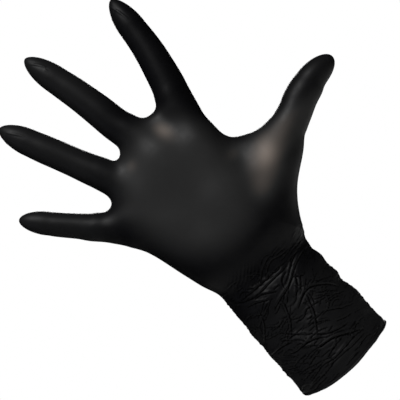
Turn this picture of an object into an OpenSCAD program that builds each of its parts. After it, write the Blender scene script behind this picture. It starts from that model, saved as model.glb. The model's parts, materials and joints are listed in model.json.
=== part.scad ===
// Disposable dipped glove, in the shape it takes on a right hand.
// The film is one thin skin; each node is the stretch of it that moves as one piece,
// and each *_film node is the stretch that folds where a joint of the hand bends.
// Frame: origin at the centre of the cuff opening, +Z along the arm to the fingers,
// the palm faces -Y and the thumb points to +X. Millimetres.

/* [Film] */
// Thickness of the dipped film
film_t = 0.15; // [0.1:0.01:0.4]
// Diameter of the rolled bead round the cuff opening
bead_d = 1.6; // [1:0.1:3]

/* [Cuff and wrist] */
// Width of the cuff at its opening, thumb side to little-finger side
cuff_width = 59; // [50:1:75]
// Depth of the cuff at its opening, palm side to back
cuff_depth = 50; // [40:1:60]
// Width across the wrist crease
wrist_width = 56; // [48:1:66]
// Depth at the wrist crease
wrist_depth = 40; // [34:1:48]
// Height of the wrist crease over the opening
wrist_z = 60; // [52:1:80]
// Length of film that folds at the wrist
wrist_fold = 30; // [28:1:36]

/* [Palm] */
// Width across the palm below the finger roots
palm_width = 86; // [76:1:98]
// Length from the wrist crease to the web between index and middle finger
palm_length = 110; // [96:1:124]
// Depth of the hand over the heel of the palm
heel_depth = 34; // [28:1:40]
// Depth of the hand at the finger roots
root_depth = 22; // [19:1:26]

/* [Fingers] */
// Length of the index finger beyond its root
index_length = 67; // [56:1:78]
// Width of the index finger at its middle joint
index_width = 16; // [13:0.5:20]
// Lean of the index finger towards the thumb, in degrees
index_lean = 12; // [4:1:16]
// Length of the middle finger beyond its root
middle_length = 73.5; // [62:0.5:86]
// Width of the middle finger at its middle joint
middle_width = 17; // [14:0.5:21]
// Lean of the middle finger towards the thumb, in degrees
middle_lean = -11; // [-15:1:-5]
// Length of the ring finger beyond its root
ring_length = 69.5; // [58:0.5:80]
// Width of the ring finger at its middle joint
ring_width = 16; // [13:0.5:20]
// Lean of the ring finger towards the thumb, in degrees
ring_lean = -21; // [-26:1:-17]
// Length of the little finger beyond its root
little_length = 46.5; // [40:0.5:56]
// Width of the little finger at its middle joint
little_width = 13; // [11:0.5:16]
// Lean of the little finger towards the thumb, in degrees
little_lean = -46; // [-52:1:-38]
// Depth of a finger or thumb as a share of its width
finger_depth_share = 0.92; // [0.8:0.01:1]

/* [Thumb] */
// Length of the thumb beyond its root knuckle
thumb_length = 46; // [40:1:54]
// Width of the thumb between its two knuckles
thumb_width = 17.5; // [15:0.5:21]
// Angle of the thumb away from the arm line, in degrees
thumb_lean = 71; // [64:1:76]
// Turn of the thumb's pad from the palm side towards the index finger, in degrees
thumb_turn = 35; // [20:1:45]
// Distance from the thumb's root knuckle to its end joint
thumb_end_hinge = 23; // [20:1:27]

/* [Joints] */
// Largest bend at a finger's root
root_bend = 80; // [60:1:85]
// Largest bend at a finger's middle joint
middle_bend = 80; // [60:1:90]
// Largest bend at a finger's end joint
end_bend = 44; // [30:1:50]
// Largest bend at the thumb's root knuckle
thumb_bend = 45; // [30:1:55]
// Largest bend at the thumb's end joint
thumb_end_bend = 60; // [40:1:70]
// Distance of the hinge lines from the fingers' middle plane, towards the palm
hinge_offset = 2; // [0:0.5:3]
// Clearance between two stretches of film that move apart
clearance = 0.3; // [0.2:0.05:0.6]

/* [Hidden] */
around = 20;              // points round a ring of film
bead_around = 48;         // points along the bead
bead_sides = 12;          // points round the bead
bead_flat = bead_d / 2 * cos(180 / bead_sides);
palm_half = 9;            // steps across one palm panel
round_shape = 2;          // 2 is an ellipse, more is boxier
palm_shape = 2.6;
film_back = 2;            // half the folding film's length on the back of a joint
web_inset = 0.6;          // from the bottom of a web to the ring of film beside it
root_hinge = 9;           // from a finger's root to its hinge line
palm_start = wrist_z + wrist_fold / 2;
cuff_end = wrist_z - wrist_fold / 2;

film_colour = [0.09, 0.09, 0.1];
fold_colour = [0.14, 0.14, 0.16];

// ---- rings and skins ----

function along(lean) = [sin(lean), 0, cos(lean)];
function across(lean) = [cos(lean), 0, -sin(lean)];
function bow(c, shape) = sign(c) * pow(abs(c), 2 / shape);
function mix(a, b, f) = a + (b - a) * f;

// a station is [centre, side axis, back axis, forward axis, half width, half depth, slant, shape];
// the slant moves the ring's palm side forward and its back side rearward
function ring(st, inset) = [for (i = [0 : around - 1])
    let (t = 360 * i / around, p = bow(cos(t), st[7]), q = bow(sin(t), st[7]))
    st[0] + (st[4] - inset) * p * st[1] + (st[5] - inset) * q * (st[2] - st[6] * st[3])];

function flat(lists) = [for (l = lists, v = l) v];

// a skin has an outer and an inner grid of points; closed says that each row is a whole ring.
// Every four-sided patch is cut along the same diagonal on both grids, so the two never cross.
function patch(a, b, c, d, flip) = flip ? [[c, b, a], [d, c, a]] : [[a, b, c], [a, c, d]];
function grid_faces(rows, cols, start, closed, flip) = flat([
    for (r = [0 : rows - 2], c = [0 : closed ? cols - 1 : cols - 2])
        let (a = start + r * cols + c, b = start + r * cols + (c + 1) % cols)
        patch(a, b, b + cols, a + cols, flip)]);
function rim_faces(cols, outer, inner, closed, flip) = flat([
    for (c = [0 : closed ? cols - 1 : cols - 2])
        let (n = (c + 1) % cols)
        patch(outer + c, inner + c, inner + n, outer + n, flip)]);
function edge_faces(rows, cols, outer, inner, col, flip) = flat([
    for (r = [0 : rows - 2])
        let (a = r * cols + col, b = a + cols)
        patch(outer + a, outer + b, inner + b, inner + a, flip)]);
function cap_faces(cols, row_start, pole, flip) = [
    for (c = [0 : cols - 1])
        let (n = (c + 1) % cols)
        flip ? [pole, row_start + n, row_start + c] : [row_start + c, row_start + n, pole]];

// an open tube of film through its stations
module tube(stations) {
    rows = len(stations);
    size = rows * around;
    polyhedron(
        points = concat(flat([for (st = stations) ring(st, 0)]),
            flat([for (st = stations) ring(st, film_t)])),
        faces = concat(grid_faces(rows, around, 0, true, true),
            grid_faces(rows, around, size, true, false),
            rim_faces(around, 0, size, true, true),
            rim_faces(around, (rows - 1) * around, size + (rows - 1) * around, true, false)),
        convexity = 6);
}

// a tube of film closed by a pole at its far end
module tip(stations, pole) {
    rows = len(stations);
    size = rows * around;
    forward = stations[rows - 1][3];
    polyhedron(
        points = concat(flat([for (st = stations) ring(st, 0)]),
            flat([for (st = stations) ring(st, film_t)]), [pole, pole - film_t * forward]),
        faces = concat(grid_faces(rows, around, 0, true, true),
            grid_faces(rows, around, size, true, false),
            rim_faces(around, 0, size, true, true),
            cap_faces(around, (rows - 1) * around, 2 * size, true),
            cap_faces(around, size + (rows - 1) * around, 2 * size + 1, false)),
        convexity = 6);
}

// ---- cuff and wrist ----

function level(z, x, width, depth, shape) =
    [[x, 0, z], [1, 0, 0], [0, 1, 0], [0, 0, 1], width / 2, depth / 2, 0, shape];
function cuff_station(f) = level(mix(2 * bead_flat, cuff_end - clearance, f), 0,
    mix(cuff_width, wrist_width + 1, f), mix(cuff_depth, wrist_depth + 4, f), round_shape);

function bead_ring(t) = [for (k = [0 : bead_sides - 1])
    let (g = 360 * (k + 0.5) / bead_sides,
        w = (cuff_width - film_t) / 2 + bead_d / 2 * sin(g),
        d = (cuff_depth - film_t) / 2 + bead_d / 2 * sin(g))
    [w * cos(t), d * sin(t), bead_flat + bead_d / 2 * cos(g)]];

module cuff_bead() color(film_colour) {
    count = bead_around * bead_sides;
    polyhedron(
        points = flat([for (i = [0 : bead_around - 1]) bead_ring(360 * i / bead_around)]),
        faces = flat([for (i = [0 : bead_around - 1], k = [0 : bead_sides - 1])
            let (a = i * bead_sides + k, b = i * bead_sides + (k + 1) % bead_sides)
            patch(a, b, (b + bead_sides) % count, (a + bead_sides) % count, true)]),
        convexity = 4);
}

module cuff() color(film_colour)
    tube([for (f = [0 : 0.25 : 1]) cuff_station(f)]);

module wrist_film() color(fold_colour)
    tube([
        level(cuff_end, 0, wrist_width + 1, wrist_depth + 4, round_shape),
        level(mix(cuff_end, wrist_z, 0.5), 0, wrist_width, wrist_depth + 2, round_shape),
        level(wrist_z, 0, wrist_width, wrist_depth, round_shape),
        level(mix(wrist_z, palm_start, 0.5), 0.8, wrist_width + 1, mix(wrist_depth, heel_depth, 0.6), 2.2),
        level(palm_start - clearance, (palm_left(0) + palm_right(0)) / 2, palm_right(0) - palm_left(0),
            heel_depth, palm_shape)]);

// ---- palm ----

// bottoms of the webs beside the fingers, from the little finger's side to the index finger's side
function palm_point(x, z) = [x * palm_width, 0, wrist_z + z * palm_length];
webs = [palm_point(-0.64, 0.71), palm_point(-0.455, 0.79), palm_point(-0.198, 0.945),
    palm_point(0.14, 1), palm_point(0.42, 0.91)];
web_line = [for (w = webs) [w[0], w[2]]];

// the palm's edges from the wrist, at 0, to the webs, at 1
function palm_left(f) = palm_width * lookup(f, [[0, -0.318], [0.1, -0.343], [0.28, -0.384],
    [0.45, -0.424], [0.64, -0.465], [0.77, -0.512], [0.88, -0.56], [1, -0.64]]);
function palm_right(f) = palm_width * lookup(f, [[0, 0.34], [0.1, 0.365], [0.3, 0.38],
    [0.7, 0.395], [0.82, 0.385], [0.9, 0.39], [1, 0.42]]);
function palm_depth(f) = lookup(f, [[0, heel_depth], [0.25, heel_depth],
    [0.75, mix(heel_depth, root_depth, 0.65)], [1, root_depth]]);

// the thumb leaves through the palm's right side, between the wrist and thumb_top
thumb_top = 0.72;
thumb_mouth_depth = heel_depth - 5;
function mouth(f) = let (g = abs(2 * f / thumb_top - 1))
    g >= 1 ? 0 : thumb_mouth_depth / 2 * pow(1 - pow(g, palm_shape), 1 / palm_shape);

palm_rows = [0, 0.03, 0.08, 0.18, 0.36, 0.54, 0.64, 0.69, 0.72, 0.8, 0.9, 1];

// one row of a palm panel, from the left edge to the thumb's mouth or to the right edge
function palm_row(f, back, inset) = let (
        half = palm_depth(f) / 2,
        stop = asin(pow(mouth(f) / half, palm_shape / 2)),
        reach = (palm_right(f) - palm_left(f)) / (1 + bow(cos(stop), palm_shape)),
        top_reach = (palm_right(1) - palm_left(1)) / 2)
    [for (i = [0 : palm_half])
        let (t = mix(180, stop, i / palm_half),
            x = palm_left(f) + reach * (1 + bow(cos(t), palm_shape)),
            top_x = palm_left(1) + top_reach * (1 + bow(cos(180 * (1 - i / palm_half)), palm_shape)),
            y = half * bow(sin(t), palm_shape),
            slim = 1 - inset / half,
            mid = palm_left(f) + reach)
        [mid + (x - mid) * (1 - inset / reach), (back ? 1 : -1) * y * slim,
            mix(palm_start, lookup(top_x, web_line), f)]];

module palm_panel(back) {
    rows = len(palm_rows);
    cols = palm_half + 1;
    size = rows * cols;
    polyhedron(
        points = concat(flat([for (f = palm_rows) palm_row(f, back, 0)]),
            flat([for (f = palm_rows) palm_row(f, back, film_t)])),
        faces = concat(grid_faces(rows, cols, 0, false, !back),
            grid_faces(rows, cols, size, false, back),
            rim_faces(cols, 0, size, false, !back),
            rim_faces(cols, (rows - 1) * cols, size + (rows - 1) * cols, false, back),
            edge_faces(rows, cols, 0, size, 0, !back),
            edge_faces(rows, cols, 0, size, cols - 1, back)),
        convexity = 6);
}

module palm_front() color(film_colour) palm_panel(false);
module palm_back() color(film_colour) palm_panel(true);

// ---- fingers ----

// half width of a finger over its half width at the middle joint, along its length
function finger_taper(g) = lookup(g, [[0, 1.22], [0.12, 1.16], [0.25, 1.08], [0.42, 1], [0.6, 0.95],
    [0.75, 0.88], [0.85, 0.77], [0.92, 0.62], [0.965, 0.44], [0.99, 0.22], [1, 0.1]]);
tip_steps = [0.85, 0.92, 0.965, 0.99];

// a finger is [web on its little-finger side, web on its thumb side, lean, length, width,
//   share of its length to the middle joint, share to the end joint]
index_finger = [webs[3], webs[4], index_lean, index_length, index_width, 0.43, 0.69];
middle_finger = [webs[2], webs[3], middle_lean, middle_length, middle_width, 0.43, 0.69];
ring_finger = [webs[1], webs[2], ring_lean, ring_length, ring_width, 0.43, 0.69];
little_finger = [webs[0], webs[1], little_lean, little_length, little_width, 0.48, 0.72];

function root_of(fg) = (fg[0] + fg[1]) / 2;
function half_depth(fg, s) = fg[4] / 2 * finger_taper(s / fg[3]) * finger_depth_share;
function finger_station(fg, s, slant) = [root_of(fg) + s * along(fg[2]), across(fg[2]), [0, 1, 0],
    along(fg[2]), fg[4] / 2 * finger_taper(s / fg[3]), half_depth(fg, s), slant, 2.2];
function middle_hinge(fg) = fg[3] * fg[5];
function end_hinge(fg) = fg[3] * fg[6];

// half the length of the folding film on the palm side of a joint, and what follows from it
function film_palm(depth, bend) = (depth - hinge_offset) * tan(bend / 2) + clearance;
function film_mid(depth, bend) = (film_palm(depth, bend) + film_back) / 2;
function film_slant(depth, bend) = (film_palm(depth, bend) - film_back) / (2 * depth);

// the end of a stretch of film at a joint: side is -1 before the hinge line and 1 after it
function joint_station(fg, hinge, bend, side, gap) = let (depth = half_depth(fg, hinge))
    finger_station(fg, hinge + side * (film_mid(depth, bend) + gap), side * film_slant(depth, bend));
function between(a, b, f) = [for (i = [0 : 7]) mix(a[i], b[i], f)];
function refit(fg, st) = let (s = (st[0] - root_of(fg)) * along(fg[2]))
    finger_station(fg, s, st[6]);

module finger_sleeve(fg, from, to)
    tube([for (f = [0, 0.5, 1]) refit(fg, between(from, to, f))]);

module finger_root_film(fg) {
    inset = web_inset * (fg[1] - fg[0]) / norm(fg[1] - fg[0]);
    start = [root_of(fg) + clearance * along(fg[2]), (fg[1] - fg[0]) / norm(fg[1] - fg[0]), [0, 1, 0],
        along(fg[2]), norm(fg[1] - fg[0]) / 2 - norm(inset), root_depth / 2 - clearance, 0, palm_shape];
    end = joint_station(fg, root_hinge, root_bend, 1, -clearance);
    tube([for (f = [0, 0.2, 0.45, 0.7, 1]) f == 1 ? end : between(start, end, f)]);
}
module finger_base(fg)
    finger_sleeve(fg, joint_station(fg, root_hinge, root_bend, 1, 0),
        joint_station(fg, middle_hinge(fg), middle_bend, -1, 0));
module finger_middle_film(fg)
    finger_sleeve(fg, joint_station(fg, middle_hinge(fg), middle_bend, -1, -clearance),
        joint_station(fg, middle_hinge(fg), middle_bend, 1, -clearance));
module finger_middle(fg)
    finger_sleeve(fg, joint_station(fg, middle_hinge(fg), middle_bend, 1, 0),
        joint_station(fg, end_hinge(fg), end_bend, -1, 0));
module finger_end_film(fg)
    finger_sleeve(fg, joint_station(fg, end_hinge(fg), end_bend, -1, -clearance),
        joint_station(fg, end_hinge(fg), end_bend, 1, -clearance));
module finger_tip(fg)
    tip(concat([joint_station(fg, end_hinge(fg), end_bend, 1, 0)],
        [for (g = tip_steps) finger_station(fg, g * fg[3], 0)]),
        root_of(fg) + fg[3] * along(fg[2]));

module index_root_film() color(fold_colour) finger_root_film(index_finger);
module index_base() color(film_colour) finger_base(index_finger);
module index_middle_film() color(fold_colour) finger_middle_film(index_finger);
module index_middle() color(film_colour) finger_middle(index_finger);
module index_end_film() color(fold_colour) finger_end_film(index_finger);
module index_tip() color(film_colour) finger_tip(index_finger);

module middle_root_film() color(fold_colour) finger_root_film(middle_finger);
module middle_base() color(film_colour) finger_base(middle_finger);
module middle_middle_film() color(fold_colour) finger_middle_film(middle_finger);
module middle_middle() color(film_colour) finger_middle(middle_finger);
module middle_end_film() color(fold_colour) finger_end_film(middle_finger);
module middle_tip() color(film_colour) finger_tip(middle_finger);

module ring_root_film() color(fold_colour) finger_root_film(ring_finger);
module ring_base() color(film_colour) finger_base(ring_finger);
module ring_middle_film() color(fold_colour) finger_middle_film(ring_finger);
module ring_middle() color(film_colour) finger_middle(ring_finger);
module ring_end_film() color(fold_colour) finger_end_film(ring_finger);
module ring_tip() color(film_colour) finger_tip(ring_finger);

module little_root_film() color(fold_colour) finger_root_film(little_finger);
module little_base() color(film_colour) finger_base(little_finger);
module little_middle_film() color(fold_colour) finger_middle_film(little_finger);
module little_middle() color(film_colour) finger_middle(little_finger);
module little_end_film() color(fold_colour) finger_end_film(little_finger);
module little_tip() color(film_colour) finger_tip(little_finger);

// ---- thumb ----

thumb_forward = along(thumb_lean);
thumb_back = cos(thumb_turn) * [0, 1, 0] + sin(thumb_turn) * across(thumb_lean);
thumb_side = cross(thumb_back, thumb_forward);
thumb_knuckle = palm_point(0.715, 0.475);

// half width of the thumb over its half width between the knuckles, along its length
function thumb_taper(g) = lookup(g, [[-0.17, 1.18], [0, 1.06], [0.22, 1], [0.5, 0.98], [0.7, 0.92],
    [0.83, 0.8], [0.91, 0.62], [0.967, 0.42], [0.991, 0.2]]);
thumb_tip_steps = [0.7, 0.83, 0.91, 0.967, 0.991];

function thumb_half(s) = thumb_width / 2 * thumb_taper(s / thumb_length);
function thumb_station(s, slant) = [thumb_knuckle + s * thumb_forward, thumb_side, thumb_back, thumb_forward,
    thumb_half(s), thumb_half(s) * finger_depth_share, slant, 2.2];
function thumb_joint(hinge, bend, side, gap) = let (depth = thumb_half(hinge) * finger_depth_share)
    thumb_station(hinge + side * (film_mid(depth, bend) + gap), side * film_slant(depth, bend));
function thumb_refit(st) = thumb_station((st[0] - thumb_knuckle) * thumb_forward, st[6]);

module thumb_sleeve(from, to)
    tube([for (f = [0, 0.5, 1]) thumb_refit(between(from, to, f))]);

// a ring of the ball of the thumb between its lower and its upper edge
function ball_station(low, high, depth, shape) = let (run = high - low)
    [(low + high) / 2, -run / norm(run), [0, 1, 0], cross([0, 1, 0], run / norm(run)),
        norm(run) / 2, depth / 2, 0, shape];
mouth_ring = ball_station(
    [palm_right(0.05) + clearance, 0, palm_start + web_inset],
    [palm_right(thumb_top) + clearance, 0, mix(palm_start, webs[4][2], thumb_top) - web_inset],
    thumb_mouth_depth - 1, palm_shape);
ball_mid = ball_station(palm_point(0.43, 0.17), palm_point(0.435, 0.655), thumb_mouth_depth - 3, 2.3);
ball_end = ball_station(palm_point(0.525, 0.265), palm_point(0.495, 0.61), thumb_width + 5, 2.2);

module thumb_root_film() color(fold_colour) tube([mouth_ring, ball_mid, ball_end]);
module thumb_base() color(film_colour) {
    start = [for (i = [0 : 7]) i == 0 ? ball_end[0] + clearance * ball_end[3] : ball_end[i]];
    end = thumb_joint(0, thumb_bend, -1, 0);
    tube([for (f = [0, 0.35, 0.7, 1]) f == 1 ? end : between(start, end, f)]);
}
module thumb_middle_film() color(fold_colour)
    thumb_sleeve(thumb_joint(0, thumb_bend, -1, -clearance), thumb_joint(0, thumb_bend, 1, -clearance));
module thumb_middle() color(film_colour)
    thumb_sleeve(thumb_joint(0, thumb_bend, 1, 0), thumb_joint(thumb_end_hinge, thumb_end_bend, -1, 0));
module thumb_end_film() color(fold_colour)
    thumb_sleeve(thumb_joint(thumb_end_hinge, thumb_end_bend, -1, -clearance),
        thumb_joint(thumb_end_hinge, thumb_end_bend, 1, -clearance));
module thumb_tip() color(film_colour)
    tip(concat([thumb_joint(thumb_end_hinge, thumb_end_bend, 1, 0)],
        [for (g = thumb_tip_steps) thumb_station(g * thumb_length, 0)]),
        thumb_knuckle + thumb_length * thumb_forward);

// ---- nodes ----

cuff_bead();
cuff();
wrist_film();
palm_front();
palm_back();
index_root_film();
index_base();
index_middle_film();
index_middle();
index_end_film();
index_tip();
middle_root_film();
middle_base();
middle_middle_film();
middle_middle();
middle_end_film();
middle_tip();
ring_root_film();
ring_base();
ring_middle_film();
ring_middle();
ring_end_film();
ring_tip();
little_root_film();
little_base();
little_middle_film();
little_middle();
little_end_film();
little_tip();
thumb_root_film();
thumb_base();
thumb_middle_film();
thumb_middle();
thumb_end_film();
thumb_tip();
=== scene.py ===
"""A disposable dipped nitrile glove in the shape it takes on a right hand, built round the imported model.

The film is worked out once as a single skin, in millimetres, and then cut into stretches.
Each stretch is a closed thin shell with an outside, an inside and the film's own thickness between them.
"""
import json
import math

import bpy
import numpy as np
from mathutils import Matrix, Vector


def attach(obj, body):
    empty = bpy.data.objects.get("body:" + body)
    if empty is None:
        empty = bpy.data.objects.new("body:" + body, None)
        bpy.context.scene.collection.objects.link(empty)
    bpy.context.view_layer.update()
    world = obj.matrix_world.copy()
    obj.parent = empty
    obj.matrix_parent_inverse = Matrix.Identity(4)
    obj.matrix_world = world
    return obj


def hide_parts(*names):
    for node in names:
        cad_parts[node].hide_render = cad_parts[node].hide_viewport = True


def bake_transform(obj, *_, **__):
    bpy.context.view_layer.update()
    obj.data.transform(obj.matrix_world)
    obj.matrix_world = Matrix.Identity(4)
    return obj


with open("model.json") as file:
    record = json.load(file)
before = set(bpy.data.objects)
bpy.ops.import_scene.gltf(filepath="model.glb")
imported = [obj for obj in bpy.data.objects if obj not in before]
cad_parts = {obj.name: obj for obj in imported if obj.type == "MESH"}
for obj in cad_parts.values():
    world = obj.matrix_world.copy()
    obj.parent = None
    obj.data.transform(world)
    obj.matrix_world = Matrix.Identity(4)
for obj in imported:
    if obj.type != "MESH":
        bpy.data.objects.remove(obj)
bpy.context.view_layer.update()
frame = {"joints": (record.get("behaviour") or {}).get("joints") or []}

MM = 0.001
FILM = 0.15           # thickness of the dipped film
BEAD = 0.65           # radius of the rolled bead
BEAD_UP = 0.25        # the middle of the roll lies this far up from the film's edge
BEAD_SIDES = 14
CELL = 1.0            # spacing of the skin's mesh, halved where the film creases
FOLDED_BELOW = 88.0   # the film is creased from the cuff up to here
FOLDED_TIP = 17.0     # and within this distance of each fingertip
FROM_CAMERA = 460.0   # the camera stands this far in front of the hand
SEEN = 220.0          # the camera's view takes in this much
MIDDLE_SEEN = np.array([0.14, 117.4])     # (x, z) straight in front of it
TAUT = 0.10           # amount of stretch that greys the film; more goes warm grey, for thinner film and partly as a painted highlight
FINGER_NAMES = ("index", "middle", "ring", "little")
joints = {joint["name"]: joint for joint in frame["joints"]}

# The hand inside the film: (x, z) and radius along each digit, then its point and how round the tip is.
# A roundness of 2 makes half an ellipse, and less draws the tip out.
DIGITS = {
    "index": [(20.4, 141, 10.5), (27.1, 167.8, 10.1), (30.2, 176.8, 9.4), (32.5, 186, 8.9), (34.5, 195, 8.4),
              (35.9, 204.3, 7.9), (36.8, 213.7, 7.5), (38.6, 231.6, 1.7)],
    "middle": [(-1, 149, 10.2), (-3.5, 170, 9.8), (-6, 180, 9.1), (-7.6, 190.4, 8.8), (-9.4, 200.7, 8.35),
               (-11.6, 211, 8.0), (-14, 221, 7.55), (-18.5, 239.5, 1.75)],
    "ring": [(-20, 137, 9.6), (-29, 162, 9.0), (-32.9, 170.7, 8.5), (-36.7, 179.1, 8.0), (-40.4, 187.6, 7.9),
             (-44.2, 196, 7.8), (-47.9, 204.4, 7.45), (-54.9, 220.8, 1.75)],
    "little": [(-34, 127, 8.4), (-50, 143.1, 8.0), (-54.5, 147.2, 7.5), (-58.7, 151.8, 6.95),
               (-62.9, 156.2, 6.75), (-67, 160.6, 6.6), (-71, 165.2, 6.4), (-80.7, 176.3, 1.85)],
    "thumb": [(22, 84.2, 16.8), (42, 102.5, 13.0), (58.4, 113.0, 10.4), (65.4, 115.6, 10.0),
              (71.9, 118.2, 9.5), (78.2, 121.3, 9.4), (84.8, 123.6, 9.2), (91.4, 125.6, 8.3), (106.6, 128.1, 1.95)],
}
# Rods that fill the palm and the webs: x, z and radius at one end, the same at the other, depth over width.
PALM_RODS = [
    (11, 87, 16.0, 20, 141, 12.5, 1.10), (3, 86, 16.4, 0, 149, 12.5, 1.06), (-8, 87, 16.0, -19, 138, 12, 1),
    (-15, 91, 16.8, -34.8, 127.5, 9.9, 0.98), (-18, 116, 12, -34.5, 135, 10.0, 1),
    (8, 108, 13.5, 40, 107.5, 11.8, 0.97), (-1, 97, 27, -3, 137.5, 30.2, 0.41),
]
WEB_RODS = [
    (3, 164.4, 6.5, 21, 163, 6.5, 1), (-24.6, 150.4, 5.2, -9.4, 155.0, 5.2, 1),
    (-44, 137.3, 5.5, -32, 143.3, 5.5, 1),
]
THUMB_WEB_RODS = [(27, 129.3, 7, 39, 118.2, 7, 0.8), (39, 118.2, 7, 52, 109.0, 8.5, 0.8)]
# Fillets where the rods, the webs, the fingers, the thumb and the forearm run into the palm.
PALM_FILLET, WEB_FILLET, THUMB_WEB_FILLET = 9, 6, 8
FINGER_FILLET, THUMB_FILLET, WRIST_FILLET = 5, 12, 10
FINGER_DEPTH, THUMB_DEPTH = 0.93, 0.95    # depth over width
# Height, half width and half depth up the wrist and forearm.
FOREARM_STATIONS = [(6, 29.3, 24.6), (30, 29, 21.6), (45, 28.6, 19.2), (58, 27.6, 17.4), (68, 26.6, 15.8),
                    (82, 23, 13.4), (99, 14, 8)]


# ---------------------------------------------------------------- the shape of the hand, as distances
def joint_line(name):
    """The joint's place in mm and the way that the digit runs on from it."""
    joint = joints[name]
    place = np.array(joint["pos_m"], float) * 1000
    axis = np.array(joint["axis"], float)
    return place, np.array([-axis[2], 0.0, axis[0]]) / math.hypot(axis[0], axis[2])


def past_joint(p, name):
    """How far along the digit from the joint each place is, under nought before it."""
    place, way = joint_line(name)
    return (p - place) @ way


def rod(p, start, end, start_radius, end_radius, flat):
    """Distance to a tapered rod between two (x, z) points; flat squeezes it from palm to back."""
    run = np.array([end[0] - start[0], end[1] - start[1]], np.float32)
    x, z = p[0] - start[0], p[2] - start[1]
    along = np.clip((x * run[0] + z * run[1]) / float(run @ run), 0, 1)
    off = np.sqrt((x - along * run[0]) ** 2 + (p[1] / flat) ** 2 + (z - along * run[1]) ** 2)
    return off - (start_radius + (end_radius - start_radius) * along * along * (3 - 2 * along))


def join(a, b, soft):
    """Both shapes at once, with a fillet of about this size between them."""
    share = np.clip(0.5 + 0.5 * (b - a) / soft, 0, 1)
    return b + (a - b) * share - soft * share * (1 - share)


def smooth_line(points, pieces=6):
    """A curve through the points."""
    points = np.array(points, float)
    ends = np.concatenate([[2 * points[0] - points[1]], points, [2 * points[-1] - points[-2]]])
    t = (np.arange(pieces) / pieces)[:, None]
    out = []
    for a, b, c, d in zip(ends, ends[1:], ends[2:], ends[3:]):
        out.append(0.5 * (2 * b + (c - a) * t + (2 * a - 5 * b + 4 * c - d) * t ** 2
                          + (3 * b - a - 3 * c + d) * t ** 3))
    return np.concatenate(out + [points[-1:]])


def digit_line(name):
    """The digit's chord from root to point, and its centre and radius along that chord."""
    *stations, (tip_x, tip_z, roundness) = DIGITS[name]
    stations = np.array(stations + [(tip_x, tip_z, stations[-1][2])], float)
    off = stations[:, :2] - stations[0, :2]
    way = off[-1] / np.hypot(*off[-1])
    table = smooth_line(np.column_stack([off @ way, off @ (way[1], -way[0]), stations[:, 2]]))
    return stations[0, :2], way, off[-2:] @ way, table, roundness


LINES = {name: digit_line(name) for name in DIGITS}
FOREARM = smooth_line(FOREARM_STATIONS)


def digit(p, name):
    """Distance to one finger or the thumb: a round bar of changing width with a drawn-out tip."""
    start, way, (shoulder, tip), table, roundness = LINES[name]
    x, z = p[0] - start[0], p[2] - start[1]
    reach = x * way[0] + z * way[1]
    centre = np.interp(reach, table[:, 0], table[:, 1])
    radius = np.interp(reach, table[:, 0], table[:, 2])
    across = (x * way[1] - z * way[0] - centre) / radius
    depth = p[1] / (radius * (THUMB_DEPTH if name == "thumb" else FINGER_DEPTH))
    past = np.maximum((reach - shoulder) / (tip - shoulder), -reach / radius)
    past = np.maximum(past, 0) ** roundness
    share = ((across ** 2 + depth ** 2) ** (roundness / 2) + past) ** (1 / roundness)
    return ((share - 1) * radius).astype(np.float32)


def forearm(p):
    """Distance to the wrist and forearm: an upright oval bar that narrows into the palm."""
    z = p[2]
    wide = np.interp(z, FOREARM[:, 0], FOREARM[:, 1]).astype(np.float32)
    deep = np.interp(z, FOREARM[:, 0], FOREARM[:, 2]).astype(np.float32)
    round_off = np.sqrt((p[0] / wide) ** 2 + (p[1] / deep) ** 2)
    return np.maximum((round_off - 1) * np.minimum(wide, deep), z - FOREARM_STATIONS[-1][0])


def hand(p):
    """Distance to the whole hand: under nought inside the glove."""
    shape = None
    sets_of_rods = (PALM_RODS, PALM_FILLET), (WEB_RODS, WEB_FILLET), (THUMB_WEB_RODS, THUMB_WEB_FILLET)
    for rods, fillet in sets_of_rods:
        for ax, az, ar, bx, bz, br, flat in rods:
            bone = rod(p, (ax, az), (bx, bz), ar, br, flat)
            shape = bone if shape is None else join(shape, bone, fillet)
    for name in FINGER_NAMES:
        shape = join(shape, digit(p, name), FINGER_FILLET)
    shape = join(shape, digit(p, "thumb"), THUMB_FILLET)
    return join(shape, forearm(p), WRIST_FILLET)


# ---------------------------------------------------------------- one skin over that shape
def skin_over(shape, low, high, step):
    """A sheet of quads where the shape's surface is; each quad faces out."""
    axes = [np.arange(low[k], high[k] + step, step, dtype=np.float32) for k in range(3)]
    field = shape(np.meshgrid(*axes, indexing="ij", sparse=True))
    cells = np.array(field.shape) - 1
    total = np.zeros((*cells, 3), np.float32)
    count = np.zeros(cells, np.float32)
    sheets = []
    for axis in range(3):
        near = [slice(None)] * 3
        far = [slice(None)] * 3
        near[axis], far[axis] = slice(0, -1), slice(1, None)
        a, b = field[tuple(near)], field[tuple(far)]
        at = np.argwhere((a < 0) != (b < 0))
        fa, fb = a[tuple(at.T)], b[tuple(at.T)]
        crossing = at.astype(np.float32)
        crossing[:, axis] += fa / (fa - fb)
        u, v = (axis + 1) % 3, (axis + 2) % 3
        ring = np.repeat(at[:, None, :], 4, axis=1)
        for k, (du, dv) in enumerate(((-1, -1), (0, -1), (0, 0), (-1, 0))):
            ring[:, k, u] += du
            ring[:, k, v] += dv
        held = ((ring >= 0) & (ring < cells)).all(axis=2)
        for k in range(4):
            cell = tuple(ring[held[:, k], k].T)
            total[cell] += crossing[held[:, k]]
            count[cell] += 1
        whole = held.all(axis=1)
        quads = ring[whole]
        inward = fa[whole] >= 0
        quads[inward] = quads[inward][:, ::-1]
        sheets.append(quads)
    number = np.full(cells, -1)
    used = count > 0
    number[used] = np.arange(used.sum())
    points = np.array(low) + step * (total[used] / count[used][:, None])
    quads = np.concatenate(sheets)
    return tidy(points.astype(float), number[quads[..., 0], quads[..., 1], quads[..., 2]])


def tidy(points, faces):
    """Drops the points that no face uses."""
    kept, renumbered = np.unique(faces, return_inverse=True)
    return points[kept], renumbered.reshape(faces.shape)


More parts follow.
